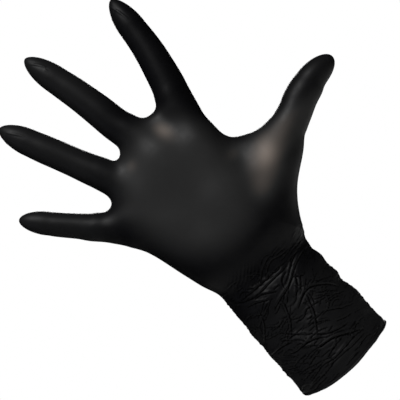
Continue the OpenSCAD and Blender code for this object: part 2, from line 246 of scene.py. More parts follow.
def edges_of(faces):
    """Every directed edge of the faces; a triangle is a face whose last two corners are the same."""
    pairs = np.concatenate([faces[:, [k, (k + 1) % 4]] for k in range(4)])
    return pairs[pairs[:, 0] != pairs[:, 1]]


def open_edges(faces):
    """The directed edges that only one face has."""
    pairs = edges_of(faces)
    width = int(pairs.max()) + 1
    keys = pairs[:, 0] * width + pairs[:, 1]
    return pairs[~np.isin(keys, pairs[:, 1] * width + pairs[:, 0])]


def normals_of(points, faces):
    """Each point's outward direction, from the faces round it."""
    a, b, c, d = (points[faces[:, k]] for k in range(4))
    facing = np.cross(c - a, d - b)
    total = np.zeros_like(points)
    for k in range(3):
        np.add.at(total, faces[:, k], facing)
    square = faces[:, 3] != faces[:, 2]
    np.add.at(total, faces[square, 3], facing[square])
    return total / np.maximum(np.linalg.norm(total, axis=1), 1e-9)[:, None]


def slope(shape, points):
    """How fast the distance changes along x, y and z."""
    reach = 0.25
    parts = []
    for k in range(3):
        step = np.zeros(3)
        step[k] = reach
        parts.append((shape((points + step).T) - shape((points - step).T)) / (2 * reach))
    return np.stack(parts, axis=1)


def even_out(points, faces, shape, rounds, rim=None):
    """Spreads the points along the surface and puts them back on it."""
    pairs = edges_of(faces)
    pairs = np.concatenate([pairs, pairs[:, ::-1]])
    count = np.bincount(pairs[:, 0], minlength=len(points))[:, None]
    for _ in range(rounds):
        normal = slope(shape, points)
        length = np.maximum(np.linalg.norm(normal, axis=1), 1e-6)[:, None]
        points = points - normal * (shape(points.T)[:, None] / length ** 2)
        normal = normal / length
        middle = np.zeros_like(points)
        np.add.at(middle, pairs[:, 0], points[pairs[:, 1]])
        shift = 0.5 * (middle / count - points)
        shift -= normal * (shift * normal).sum(axis=1)[:, None]
        if rim is not None:
            shift[rim] = 0
        points = points + shift
    for _ in range(2):
        normal = slope(shape, points)
        squared = np.maximum((normal ** 2).sum(axis=1), 1e-9)
        points = points - normal * (shape(points.T) / squared)[:, None]
    return points


def halve(points, faces, chosen):
    """Cuts the chosen faces in four. A neighbour that gets a point on its edge becomes a fan of triangles."""
    width = len(points)
    split = np.sort(edges_of(faces[chosen]), axis=1)
    keys = np.unique(split[:, 0] * width + split[:, 1])
    middle_points = (points[keys // width] + points[keys % width]) / 2

    def middle(a, b):
        key = np.minimum(a, b) * width + np.maximum(a, b)
        place = np.minimum(np.searchsorted(keys, key), len(keys) - 1)
        return np.where(keys[place] == key, width + place, -1)

    corners = [faces[:, k] for k in range(4)]
    middles = [middle(corners[k], corners[(k + 1) % 4]) for k in range(4)]
    touched = ~chosen & (np.stack(middles) >= 0).any(axis=0)
    centred = chosen | touched
    centre = np.full(len(faces), -1)
    centre[centred] = width + len(keys) + np.arange(centred.sum())
    centre_points = points[faces[centred]].mean(axis=1)
    made = [faces[~centred]]
    for k in range(4):
        made.append(np.stack([corners[k], middles[k], centre, middles[k - 1]], axis=1)[chosen])
        cut, plain = touched & (middles[k] >= 0), touched & (middles[k] < 0)
        after = corners[(k + 1) % 4]
        made.append(np.stack([corners[k], middles[k], centre, centre], axis=1)[cut])
        made.append(np.stack([middles[k], after, centre, centre], axis=1)[cut])
        made.append(np.stack([corners[k], after, centre, centre], axis=1)[plain])
    return np.concatenate([points, middle_points, centre_points]), np.concatenate(made)


# ---------------------------------------------------------------- creases, folds and what the fingers press out
# Folds of the wrist and cuff on the palm side: height and width of each, then the (x, z) points it runs through.
# The line is the crease. The film rises out of it steeply and falls away again on the side nearer the fingers.
WRIST_FOLDS = [
    (0.40, 0.65, [(-28.3, 64.6), (-24.4, 60.2), (-18.3, 57.9), (-12, 57.3), (-3, 57.7), (8, 57.9),
                  (14.8, 58.6)]),
    (0.35, 0.60, [(-27.0, 62.0), (-20, 61.0), (-12, 60.4), (-3, 60.4), (8, 60.8), (17, 60.9)]),
    (0.45, 0.65, [(-9.5, 60.3), (-4.8, 63.4), (-0.7, 65.7), (5.2, 67.7), (11, 68.6)]),
    (0.30, 0.70, [(-4, 61.0), (2, 63.8), (9.3, 66.2), (17.7, 64.8), (23, 65.4)]),
    (0.65, 0.75, [(-13.4, 45.4), (-6.5, 46.8), (1.8, 48.4), (7.5, 50.0), (12.5, 52.4), (17.6, 55.0),
                  (22.4, 57.4), (28, 59.4)]),
    (0.35, 0.60, [(2.3, 50.8), (8, 52.6), (13, 55.0), (18, 58.0), (23, 60.6), (28.6, 63.2)]),
    (0.40, 0.65, [(-24.8, 56.8), (-19.8, 55.1), (-14, 52.2), (-9, 50.1)]),
    (0.35, 0.65, [(-19.8, 57.0), (-14, 56.2), (-9, 54.0), (-3.2, 51.4)]),
    (0.85, 0.75, [(-1, 36.6), (3.5, 38.4), (7.4, 40.0), (11.8, 41.2), (16, 40.8), (20, 38.4), (23, 35.3),
                  (25.6, 31.4)]),
    (0.40, 0.70, [(3.5, 42.2), (7.4, 44.6), (11.4, 48.0), (14.6, 52.2)]),
    (0.35, 0.65, [(9.4, 43.6), (13, 46.4), (16.8, 50.9)]),
    (0.60, 0.60, [(10.4, 40.0), (8.2, 35.4), (5.8, 29.6), (2.7, 25.3), (-3.0, 17.9)]),
    (0.60, 0.60, [(-4.8, 45.7), (-6.6, 40.5), (-9.4, 34.8), (-12.8, 30.6), (-17.2, 25.6)]),
    (0.50, 0.60, [(-20.7, 49), (-22.6, 43.4), (-25.2, 39.4), (-28.4, 35.3)]),
    (0.65, 0.65, [(-30, 28.4), (-24, 27.8), (-19.8, 26.8), (-16.4, 25.3)]),
    (0.80, 0.70, [(-22.5, 22.0), (-18, 20.3), (-13, 19.9), (-8.2, 19.0), (-1.6, 16.6)]),
    (0.90, 0.75, [(-8.4, 14.4), (-5.4, 12.9), (-0.7, 12.5), (4, 11.5), (8, 9.5), (12.6, 7.4), (19, 4.3)]),
    (0.40, 0.65, [(-2.3, 18.6), (3.5, 15.2), (9, 13.4), (15, 12.4)]),
    (0.40, 0.60, [(-24.6, 1.3), (-17.3, 3.6), (-10.7, 4.4), (-4.8, 3.2), (3.5, 3.6), (12.7, 4.8),
                  (19.3, 4.0)]),
    (0.35, 0.60, [(-26, 0.2), (-13.2, 0.6), (-2.3, 2.0), (8, 1.6), (19, 3.0)]),
    (0.40, 0.60, [(-8, 5.4), (-2, 7.2), (3, 8.3), (9, 9.0)]),
    (0.35, 0.60, [(-20, 9.2), (-13, 10.6), (-6.5, 12.0)]),
    (0.30, 0.55, [(-24.6, 14.9), (-20, 15.8), (-15, 15.2)]),
    (0.30, 0.55, [(-8, 31.8), (-3, 31.2), (2.2, 31.6)]),
    (0.30, 0.55, [(-3, 26.4), (2, 27.2), (7, 26.8)]),
    (0.30, 0.55, [(-22, 37.6), (-17, 37.0), (-12, 37.8)]),
    (0.30, 0.60, [(8, 27), (13, 24.6), (19, 21), (25, 18.6)]),
    (0.30, 0.60, [(16, 33.4), (20, 30.0), (26, 27.2)]),
]
# Thin ridges where the film's slack gathers over each fingertip.
TIP_FOLDS = [
    (0.30, 0.45, [(35.6, 229.4), (36.8, 225), (37.6, 221), (38.3, 215.6)]),
    (0.22, 0.50, [(31.4, 221.6), (33.6, 223.6), (35.8, 225.2)]),
    (0.30, 0.45, [(-19.4, 235.0), (-16.6, 231.6), (-14.2, 228), (-12.8, 224.4)]),
    (0.26, 0.45, [(-53.9, 215.8), (-51.4, 212.4), (-49, 209.2), (-47.4, 206.6)]),
    (0.26, 0.45, [(-53.9, 215.8), (-55.4, 213.6), (-56.6, 211)]),
    (0.26, 0.50, [(105.6, 128.6), (104.2, 126.8), (103.6, 124.4)]),
]
CREST = 1.2               # a fold's crest stands this many of its widths from its crease
STEEP, GENTLE = 0.7, 1.3  # how far the crest spreads towards the crease and away from it, in widths
CREASE = 0.75             # how far the crease spreads, in widths
FADE = 0.6                # how soon a fold rises from nothing at its ends; less is sooner
WRIST_TROUGH = 0.75       # depth of the crease over the fold's height, at the wrist and cuff
TIP_TROUGH = 0.35         # and over a fingertip
HALF_WIDTH, HALF_DEPTH = 29, 24   # of the cuff, for telling how far round it a place is
ROUND_IT = 27             # film round the cuff for each radian
WIDEST = 29.5             # a place this far out to the side is a quarter of the way round
SMALL_FOLDS = 560
# Up the cuff: height, then how far the small folds slope and how much that varies, in radians.
SMALL_FOLD_SLOPES = [(0, 0.10, 0.10), (10, 0.12, 0.14), (20, -0.28, 0.20),
                     (34, -0.05, 0.35), (52, 0.30, 0.40), (70, 0.10, 0.22)]
# Up the wrist's two edges: height, and how far the film stands out from the forearm.
THUMB_EDGE = [(0, 0.9), (3, 0.6), (12, 0), (23, 1.1), (33, -1.2), (38, 0.2), (44, -0.3), (50, 0.4),
              (56, -0.5), (60, 1.0), (66, 0.3), (71, 0.4)]
FAR_EDGE = [(0, 0.2), (3, 0.4), (10, -0.3), (20, 0), (28, 0.3), (36, -0.6), (49, 0.2), (57, 0), (66, 0),
            (72, -1.2)]
PLEAT, PLEAT_LIFT = 1.9, 0.14             # spacing and height of the pleats at the heel
NAIL_LIFT = 0.28
KNUCKLE_LIFT, WRINKLE_LIFT, WRINKLE = 0.30, 0.08, 2.2     # the last is the spacing of a knuckle's wrinkles
# Where the film is stretched thinnest, with a highlight painted on the same spots: (x, z), half width, half length,
# turn in degrees, and how thin.
THIN_SPOTS_AND_HIGHLIGHTS = [
    (41, 110, 9, 12, -44, 0.30), (43.5, 112.5, 4.5, 7, -50, 0.31), (30, 101, 8, 6, 40, 0.16),
    (31, 124, 5, 4, 0, 0.08), (58, 116, 11, 4.5, 20, 0.14), (11, 158.5, 3.8, 5.5, 12, 0.34),
    (-15, 156, 3.5, 3, 30, 0.10),
]


def fold(place, line, height, width, trough):
    """How far one fold lifts the film at each place: a steep rise out of the crease, then a gentle fall."""
    lift = np.zeros(len(place))
    reach = 4.5 * width       # past this it lifts nothing worth counting
    near = ((place > line.min(axis=0) - reach) & (place < line.max(axis=0) + reach)).all(axis=1)
    q = place[near]
    if not len(q):
        return lift
    best = np.full(len(q), 1e9)
    side, done = np.zeros(len(q)), np.zeros(len(q))
    for k, (a, b) in enumerate(zip(line, line[1:])):
        run = b - a
        length = max(float(np.hypot(*run)), 1e-6)
        t = np.clip(((q - a) @ run) / length ** 2, 0, 1)
        away = q - a - t[:, None] * run
        far = np.hypot(away[:, 0], away[:, 1])
        closer = far < best
        uphill = np.array([-run[1], run[0]]) / length
        if uphill @ (-0.4, 1) < 0:
            uphill = -uphill
        best = np.where(closer, far, best)
        side = np.where(closer, np.sign(away @ uphill), side)
        done = np.where(closer, (k + t) / (len(line) - 1), done)
    above = best * side
    past_crest = above - CREST * width
    crest = np.exp(-(past_crest / (width * np.where(past_crest > 0, GENTLE, STEEP))) ** 2)
    dip = np.exp(-(above / (CREASE * width)) ** 2) * (1 - crest)
    lift[near] = height * (crest - trough * dip) * np.clip(np.sin(np.pi * done), 0, 1) ** FADE
    return lift


def waves(p, size, seed, spread=(1, 1, 1), count=36):
    """A smooth seeded unevenness of about this size in mm, from -1 to 1."""
    chance = np.random.default_rng(seed)
    turn = chance.normal(size=(count, 3))
    turn /= np.linalg.norm(turn, axis=1)[:, None]
    turn *= (2 * np.pi / size) * chance.uniform(0.6, 1.4, size=(count, 1)) * np.array(spread)
    return np.cos(p @ turn.T + chance.uniform(0, 2 * np.pi, count)).sum(axis=1) / (0.9 * math.sqrt(count))


def ease(value, start, end):
    """From 0 at start to 1 at end, level at both."""
    t = np.clip((value - start) / (end - start), 0, 1)
    return t * t * (3 - 2 * t)


def middle_of_neighbours(points, pairs):
    """The mean place of the points that share an edge with each point."""
    a, b = pairs.T
    count = len(points)
    total = [np.bincount(a, points[b, k], count) + np.bincount(b, points[a, k], count) for k in range(3)]
    return np.stack(total, axis=1) / np.bincount(pairs.ravel(), minlength=count)[:, None]


def pull_smooth(points, faces, share, rounds):
    """Film pulled taut bridges small hollows: each point moves by its share towards its neighbours' middle."""
    pairs = edges_of(faces)
    for _ in range(rounds):
        points = points + share[:, None] * (middle_of_neighbours(points, pairs) - points)
    return points


def hollowness(points, faces, facing):
    """How far each point lies below the middle of its neighbours: positive in creases, negative on crests."""
    return ((middle_of_neighbours(points, edges_of(faces)) - points) * facing).sum(axis=1)


def laid_on_film(line):
    """Moves points from the hand's middle plane to where the camera sees them on the wrist's nearer front."""
    wide = np.interp(line[:, 1], FOREARM[:, 0], FOREARM[:, 1])
    deep = np.interp(line[:, 1], FOREARM[:, 0], FOREARM[:, 2])
    nearer = deep * np.sqrt(np.clip(1 - (line[:, 0] / wide) ** 2, 0, 1))
    return MIDDLE_SEEN + (line - MIDDLE_SEEN) * (1 - nearer / FROM_CAMERA)[:, None]


def front_folds():
    """Height, width and line of each fold at the front, with the film laid out flat round the cuff."""
    for height, width, line in WRIST_FOLDS:
        flat_line = laid_on_film(smooth_line(line))
        flat_line[:, 0] = ROUND_IT * np.arcsin(np.clip(flat_line[:, 0] / WIDEST, -0.999, 0.999))
        yield height, width, flat_line


def small_folds():
    """The same for seeded folds all round: level by the bead, falling above it, level again at the wrist."""
    chance = np.random.default_rng(11)
    heights, slopes, variety = zip(*SMALL_FOLD_SLOPES)
    for _ in range(SMALL_FOLDS):
        z = chance.uniform(0.5, 72)
        angle = chance.normal(np.interp(z, heights, slopes), np.interp(z, heights, variety))
        length = chance.uniform(4, 15) * (1 if z < 60 else 0.7)
        middle = np.array([chance.uniform(-86, 86), z])
        run = np.array([math.cos(angle), math.sin(angle)]) * length / 2
        bow = np.array([-run[1], run[0]]) * chance.normal(0, 0.2)
        height, width = chance.uniform(0.10, 0.36), chance.uniform(0.38, 0.58)
        if 18 < middle[0] < 34 and 8 < z < 58:      # the thumb's side of the cuff is smoother
            height *= 0.4
        if abs(middle[0]) > 44:                     # and so is the back, which is pulled
            height *= 0.55
        line = [middle - run, middle - run / 3 + bow, middle + run / 3 + bow, middle + run]
        yield height, width, smooth_line(line, 3)


def wrist_relief(p):
    """Lift of the film from the cuff up to the heel of the hand."""
    x, y, z = p.T
    place = np.stack([ROUND_IT * np.arctan2(x / HALF_WIDTH, -y / HALF_DEPTH), z], axis=1)
    lift = np.zeros(len(p))
    for folds in (front_folds(), small_folds()):
        for height, width, line in folds:
            lift += fold(place, line, height, width, WRIST_TROUGH)
    # Fine level pleats at the heel, where the film slides over the wrist.
    heel = np.exp(-(((x + 10) / 9) ** 2 + ((z - 74) / 7) ** 2)) * (y < 0)
    lift += PLEAT_LIFT * heel * np.sin((z * 0.74 - x * 0.67) * 2 * np.pi / PLEAT + 1.2 * waves(p, 9, 5))
    # Slack: broad soft hollows and swells, and a crumple with sharp crests.
    slack = waves(p, 22, 21, (1, 1, 1.5))
    crumple = 1 - np.abs(waves(p, 13, 22, (0.8, 0.8, 1.6)))
    lift += 0.25 * slack + 0.15 * crumple * ease(z, -4, 8)
    edge = np.clip(np.abs(x) / 28, 0, 1) ** 4
    lift += edge * np.where(x > 0, np.interp(z, *zip(*THUMB_EDGE)), np.interp(z, *zip(*FAR_EDGE)))
    return lift * (1 - ease(z, 62, 84)) * (0.45 + 0.55 * ease(z, 0, 4))


def finger_relief(p):
    """Lift over the fingers and thumb: slack at the tips, the nails and the backs of the knuckles."""
    lift = np.zeros(len(p))
    front = p[:, 1] < 0
    place = p[:, [0, 2]]
    for height, width, line in TIP_FOLDS:
        lift += fold(place, smooth_line(line), height, width, TIP_TROUGH) * front
    for name, (start, way, (_, tip), table, _) in LINES.items():      # the shoulder and roundness aren't needed
        off = place - start
        reach, across = off @ way, off @ (way[1], -way[0])
        radius = table[-1, 2]
        across = across - np.interp(reach, table[:, 0], table[:, 1])
        # The nail is a rounded square that runs back from just short of the point.
        from_nail = reach - tip + 1.35 * radius
        nail = np.sqrt((across / (0.74 * radius)) ** 4 + (from_nail / (0.9 * radius)) ** 4) ** 0.5
        lift += NAIL_LIFT * (1 - ease(nail, 0.82, 1.08)) * (p[:, 1] > 0.3 * radius)
        back = (p[:, 1] > 0) * (reach > 0)
        for bend in ("_middle", "_end"):
            past = past_joint(p, name + bend)
            over = np.exp(-(past / (0.75 * radius)) ** 2 - (across / (0.8 * radius)) ** 2) * back
            lift += over * (KNUCKLE_LIFT + WRINKLE_LIFT * np.cos(past * 2 * np.pi / WRINKLE))
    return lift


def stretch_and_painted_highlight(p):
    """0 where the film is slack, up to 1 where it is pulled so thin that the skin under it warms it; on the thin
    spots that warm grey is partly a painted highlight.
    """
    x, z = p[:, 0], p[:, 2]
    palm = (1 - ease(np.hypot((x + 1) / 40, (z - 129) / 48), 0.55, 1.05)) * TAUT
    thumb = (1 - ease(np.hypot((x - 60) / 34, (z - 113) / 11), 0.4, 1.1)) * 0.09
    fingers = 0.030 * ease(-0.72 * x + 0.69 * z, 118, 150) + 0.02 * ease(x, 55, 80)
    cuff = 0.020 * (1 - ease(z, 40, 58))
    pull = cuff + palm + (thumb + fingers) * (1 - palm / TAUT)
    # The thin spots are partly a painted highlight: they lift the colour towards warm grey.
    for spot_x, spot_z, wide, long, turn, amount in THIN_SPOTS_AND_HIGHLIGHTS:
        c, s = math.cos(math.radians(turn)), math.sin(math.radians(turn))
        dx, dz = x - spot_x, z - spot_z
        out = ((dx * c + dz * s) / wide) ** 2 + ((dz * c - dx * s) / long) ** 2
        pull = pull + amount * np.exp(-out) * (1 - ease(p[:, 1], -6, 6))
    return np.clip(pull, 0, 1)


# The hand's skin, open at the cuff.
points, faces = skin_over(hand, (-90, -34, -0.5), (116, 34, 246), CELL)
rim = np.unique(open_edges(faces))
points[rim, 2] = 0
points = even_out(points, faces, hand, 3, rim)
points[rim, 2] = 0

# A finer mesh where the film is folded.
folded = points[:, 2] < FOLDED_BELOW
for stations in DIGITS.values():
    tip_x, tip_z, _ = stations[-1]
    folded |= np.hypot(points[:, 0] - tip_x, points[:, 2] - tip_z) < FOLDED_TIP
points, faces = halve(points, faces, folded[faces].all(axis=1))
rim = np.unique(open_edges(faces))
points = even_out(points, faces, hand, 1, rim)
points[rim, 2] = 0

# The palm and its back are pulled taut, where the film faces forwards or back and well inside the palm's edge.
outward = normals_of(points, faces)
from_middle = np.hypot(points[:, 0], points[:, 2] - 118)
taut = ease(np.abs(outward[:, 1]), 0.45, 0.8) * ease(points[:, 2], 84, 92) * (1 - ease(from_middle, 40, 52))
points = pull_smooth(points, faces, 0.6 * taut, 50)

# The film lies on that skin, lifted by its folds, and its edge at the bead waves a little.
outward = normals_of(points, faces)
stretch = stretch_and_painted_highlight(points)
lift = wrist_relief(points) + finger_relief(points)
points = points + outward * (lift + FILM)[:, None]
points[rim, 2] = 0.5 * np.sin(np.arctan2(points[rim, 0], points[rim, 1]) * 3 + 1)
outward = normals_of(points, faces)
# The crease mask paints shade: the material darkens the film's colour and sheen by it.
# Points 0.008 to 0.053 mm below their neighbours' middle grade from no crease to the bottom of one.
crease = np.clip((hollowness(points, faces, outward) - 0.008) / 0.045, 0, 1)
crease *= 1 - ease(points[:, 2], 76, 90)


# ---------------------------------------------------------------- which stretch of film each face belongs to
THUMB_CORNER = np.array([36.6, 0, 133.0])       # bottom of the web between thumb and index finger
THUMB_WAY = np.array([0.997, 0, -0.079])        # square to the line from there to the side of the wrist
THUMB_ZONE = 17.5                               # a distance along that way from the corner
CUFF_TOP, WRIST_TOP = 37, 75
# Where each finger's three stretches begin: the first two from its root joint, the last from its end joint.
LONG_CUTS, LITTLE_CUTS = (-9, 10.8, -6.8), (-9, 7.2, -5.2)
FINGER_CUTS = {"index": LONG_CUTS, "middle": LONG_CUTS, "ring": LONG_CUTS, "little": LITTLE_CUTS}

middles = np.stack([points[faces[:, k]] for k in range(4)]).mean(axis=0)
nearest = np.argmin([digit(middles.T, name) for name in DIGITS], axis=0)
kind = np.full(len(faces), "hand", dtype="U16")
kind[middles[:, 2] < WRIST_TOP] = "wrist"
kind[middles[:, 2] < CUFF_TOP] = "cuff"
on_thumb = ((middles - THUMB_CORNER) @ THUMB_WAY > -0.4) & (nearest == list(DIGITS).index("thumb"))
on_thumb &= middles[:, 2] > WRIST_TOP
kind[on_thumb] = "thumb_ball"
kind[on_thumb & (past_joint(middles, "thumb_middle") > -6)] = "thumb_knuckle"
kind[on_thumb & (past_joint(middles, "thumb_end") > -6.9)] = "thumb_end"
for number, name in enumerate(FINGER_NAMES):
    root_start, middle_start, end_start = FINGER_CUTS[name]
    on_it = nearest == number
    kind[on_it & (past_joint(middles, name + "_root") > root_start)] = name + "_root"
    kind[on_it & (past_joint(middles, name + "_root") > middle_start)] = name + "_middle"
    kind[on_it & (past_joint(middles, name + "_end") > end_start)] = name + "_end"


# ---------------------------------------------------------------- materials
def linear(hex_colour):
    """An sRGB hex colour as linear red, green, blue and alpha."""
    parts = [int(hex_colour[k:k + 2], 16) / 255 for k in (1, 3, 5)]
    return [c / 12.92 if c <= 0.04045 else ((c + 0.055) / 1.055) ** 2.4 for c in parts] + [1.0]


def add_node(tree, kind_of_node, settings=None, links=None):
    """Adds a node, sets its inputs or properties by name, and links its inputs to (node, output)."""
    node = tree.nodes.new(kind_of_node)
    for name, value in (settings or {}).items():
        if isinstance(name, int) or name in node.inputs:
            node.inputs[name].default_value = value
        else:
            setattr(node, name, value)
    for name, (other, output) in (links or {}).items():
        tree.links.new(other.outputs[output], node.inputs[name])
    return node


def new_material(name):
    """An empty node material, and its node tree."""
    material = bpy.data.materials.new(name)
    material.use_nodes = True
    material.node_tree.nodes.clear()
    return material, material.node_tree


def dipped_nitrile():
    """Black nitrile rubber, dipped on a former: a satin skin, almost black face on, with a broad soft sheen.
    Where it is pulled thin it goes matt and warm grey, partly as a painted highlight. Down in creases it is painted
    black as shade. The former's blasted surface leaves a fine grain."""
    material, tree = new_material("black_nitrile_dipped")
    rest = add_node(tree, "ShaderNodeAttribute", {"attribute_name": "rest"})
    pulled = add_node(tree, "ShaderNodeAttribute", {"attribute_name": "stretch"})
    shade_in_creases = add_node(tree, "ShaderNodeAttribute", {"attribute_name": "crease"})
    # Grain of the blasted former, really about 0.1 mm, drawn at 0.5 mm so that it shows.
    grain = add_node(tree, "ShaderNodeTexNoise", {"Scale": 1 / 0.5, "Detail": 2.0, "Roughness": 0.6},
                     {"Vector": (rest, "Vector")})
    bump = add_node(tree, "ShaderNodeBump", {"Strength": 0.22, "Distance": 0.00006},
                    {"Height": (grain, "Fac")})
    # Patches of powder-free finish, 14 mm and 3 mm across, a little more or less matt.
    patches = add_node(tree, "ShaderNodeTexNoise", {"Scale": 1 / 14, "Detail": 3.0, "Roughness": 0.55},
                       {"Vector": (rest, "Vector")})
    flecks = add_node(tree, "ShaderNodeTexNoise", {"Scale": 1 / 3, "Detail": 2.0, "Roughness": 0.5},
                      {"Vector": (rest, "Vector")})
    uneven = add_node(tree, "ShaderNodeMath", {"operation": "ADD"}, {0: (patches, "Fac"), 1: (flecks, "Fac")})
    patchy = add_node(tree, "ShaderNodeMapRange",
                      {"From Min": 0.7, "From Max": 1.3, "To Min": 0.40, "To Max": 0.50},
                      {"Value": (uneven, "Value")})
    # The cuff was never pulled tight, so it keeps the former's matt finish. That fades 40 to 58 mm up from the bead.
    height = add_node(tree, "ShaderNodeSeparateXYZ", {}, {"Vector": (rest, "Vector")})
    low = add_node(tree, "ShaderNodeMapRange",
                   {"From Min": 40.0, "From Max": 58.0, "To Min": 0.08, "To Max": 0.0},
                   {"Value": (height, "Z")})
    slack_matt = add_node(tree, "ShaderNodeMath", {"operation": "ADD"},
                          {0: (patchy, "Result"), 1: (low, "Result")})
    matt = add_node(tree, "ShaderNodeMath", {"operation": "MULTIPLY_ADD", 1: 0.10},
                    {0: (pulled, "Fac"), 2: (slack_matt, "Value")})
    # Slack film is near black, taut film is grey, and the thinnest lets the warmth of skin through, which is partly
    # a painted highlight.
    taut = add_node(tree, "ShaderNodeMapRange", {"From Min": 0.0, "From Max": TAUT},
                    {"Value": (pulled, "Fac")})
    thin = add_node(tree, "ShaderNodeMapRange", {"From Min": TAUT, "From Max": 1.0},
                    {"Value": (pulled, "Fac")})
    slack_colour = add_node(tree, "ShaderNodeMix",
                            {"data_type": "RGBA", 6: linear("#08080a"), 7: linear("#0f0f11")},
                            {0: (patches, "Fac")})
    taut_colour = add_node(tree, "ShaderNodeMix", {"data_type": "RGBA", 7: linear("#2e2e2e")},
                           {0: (taut, "Result"), 6: (slack_colour, 2)})
    thin_and_highlight_colour = add_node(tree, "ShaderNodeMix", {"data_type": "RGBA", 7: linear("#a09389")},
                           {0: (thin, "Result"), 6: (taut_colour, 2)})
    # Painted shade: down in a crease, where the film folds, the colour is painted black, with hardly any sheen, for
    # the shade that falls there.
    colour = add_node(tree, "ShaderNodeMix", {"data_type": "RGBA", 7: linear("#020202")},
                      {0: (shade_in_creases, "Fac"), 6: (thin_and_highlight_colour, 2)})
    sheen = add_node(tree, "ShaderNodeMapRange", {"To Min": 1.0, "To Max": 0.08}, {"Value": (shade_in_creases, "Fac")})
    shader = add_node(tree, "ShaderNodeBsdfPrincipled",
                      {"IOR": 1.52, "Metallic": 0.0, "Specular IOR Level": 0.12},
                      {"Base Color": (colour, 2), "Roughness": (matt, "Value"),
                       "Specular Tint": (sheen, "Result"), "Normal": (bump, "Normal")})
    add_node(tree, "ShaderNodeOutputMaterial", {}, {"Surface": (shader, "BSDF")})
    return material


def rolled_nitrile():
    """The same film rolled on itself: matter and a shade less black, with fine lines along the roll."""
    material, tree = new_material("black_nitrile_rolled_bead")
    rest = add_node(tree, "ShaderNodeAttribute", {"attribute_name": "rest"})
    # Turns of the roll lie about 0.2 mm apart; the noise is stretched along the bead by squeezing x and y.
    lines = add_node(tree, "ShaderNodeMapping", {"Scale": (0.12, 0.12, 2.2)}, {"Vector": (rest, "Vector")})
    roll = add_node(tree, "ShaderNodeTexNoise", {"Scale": 1.6, "Detail": 3.0, "Roughness": 0.6},
                    {"Vector": (lines, "Vector")})
    matt = add_node(tree, "ShaderNodeMapRange",
                    {"From Min": 0.3, "From Max": 0.7, "To Min": 0.50, "To Max": 0.62}, {"Value": (roll, "Fac")})
    bump = add_node(tree, "ShaderNodeBump", {"Strength": 0.35, "Distance": 0.00012},
                    {"Height": (roll, "Fac")})
    colour = add_node(tree, "ShaderNodeMix",
                      {"data_type": "RGBA", 6: linear("#09090a"), 7: linear("#121214")}, {0: (roll, "Fac")})
    shader = add_node(tree, "ShaderNodeBsdfPrincipled",
                      {"IOR": 1.52, "Metallic": 0.0, "Specular IOR Level": 0.2},
                      {"Base Color": (colour, 2), "Roughness": (matt, "Result"), "Normal": (bump, "Normal")})
    add_node(tree, "ShaderNodeOutputMaterial", {}, {"Surface": (shader, "BSDF")})
    return material


def painted_card():
    """Matt white painted card under the glove: a plain pale floor with a faint tooth, about 1 mm."""
    material, tree = new_material("white_card_matt")
    tooth = add_node(tree, "ShaderNodeTexNoise", {"Scale": 900.0, "Detail": 2.0})
    colour = add_node(tree, "ShaderNodeMix",
                      {"data_type": "RGBA", 6: linear("#e9e9e7"), 7: linear("#f1f1ef")}, {0: (tooth, "Fac")})
    shader = add_node(tree, "ShaderNodeBsdfPrincipled",
                      {"Roughness": 0.9, "Emission Color": linear("#f1f1ef"), "Emission Strength": 0.2},
                      {"Base Color": (colour, 2)})
    add_node(tree, "ShaderNodeOutputMaterial", {}, {"Surface": (shader, "BSDF")})
    return material


film_material, bead_material = dipped_nitrile(), rolled_nitrile()


# ---------------------------------------------------------------- the pieces
def add_piece(name, where, polygons, facing, material, painted=None):
    """A mesh object in metres from points in mm. A last corner that repeats the one before makes a triangle.
    It keeps its points in mm as "rest", and anything painted on it by name, for its material to read."""
    mesh = bpy.data.meshes.new(name)
    size = np.where(polygons[:, 3] == polygons[:, 2], 3, 4)
    corners = polygons[np.arange(4) < size[:, None]]
    mesh.vertices.add(len(where))
    mesh.vertices.foreach_set("co", (where * MM).astype(np.float32).ravel())
    mesh.loops.add(len(corners))
    mesh.loops.foreach_set("vertex_index", corners.astype(np.int32))
    mesh.polygons.add(len(polygons))
    mesh.polygons.foreach_set("loop_start", np.concatenate([[0], np.cumsum(size)[:-1]]).astype(np.int32))
    mesh.polygons.foreach_set("use_smooth", np.ones(len(polygons), bool))
    rest = mesh.attributes.new("rest", "FLOAT_VECTOR", "POINT")
    rest.data.foreach_set("vector", where.astype(np.float32).ravel())
    for what, values in (painted or {}).items():
        mesh.attributes.new(what, "FLOAT", "POINT").data.foreach_set("value", values.astype(np.float32))
    mesh.update(calc_edges=True)
    mesh.validate()
    if facing is not None:
        mesh.normals_split_custom_set_from_vertices(facing.astype(np.float32))
    mesh.materials.append(material)
    piece = bpy.data.objects.new(name, mesh)
    bpy.context.scene.collection.objects.link(piece)
    return piece


def add_film(name):
    """One stretch of the skin as a closed shell of the film's thickness."""
    outside = faces[kind == name]
    used, outside = np.unique(outside, return_inverse=True)
    outside = outside.reshape(-1, 4)
    count = len(used)
    place, facing = points[used], outward[used]
    cut = open_edges(outside)
    edge = np.stack([cut[:, 1], cut[:, 0], cut[:, 0] + count, cut[:, 1] + count], axis=1)
    inside = outside[:, [2, 1, 0, 3]] + count
    triangle = outside[:, 3] == outside[:, 2]
    inside[triangle] = outside[triangle][:, [2, 1, 0, 0]] + count
    shell = np.concatenate([outside, inside, edge])
    # The crease values carry painted shade for the creases. The stretch values carry the film's grey and, on the
    # thin spots, a painted highlight.
    piece = add_piece(name, np.concatenate([place, place - FILM * facing]), shell,
                      np.concatenate([facing, -facing]), film_material,
                      {"stretch": np.tile(stretch[used], 2), "crease": np.tile(crease[used], 2)})
    return piece


def at(place, way, distance):
    """The place this many mm along the way, in metres."""
    return tuple((np.array(place) + np.array(way) * distance) * MM)


film = {name: add_film(name) for name in sorted(set(kind.tolist()))}

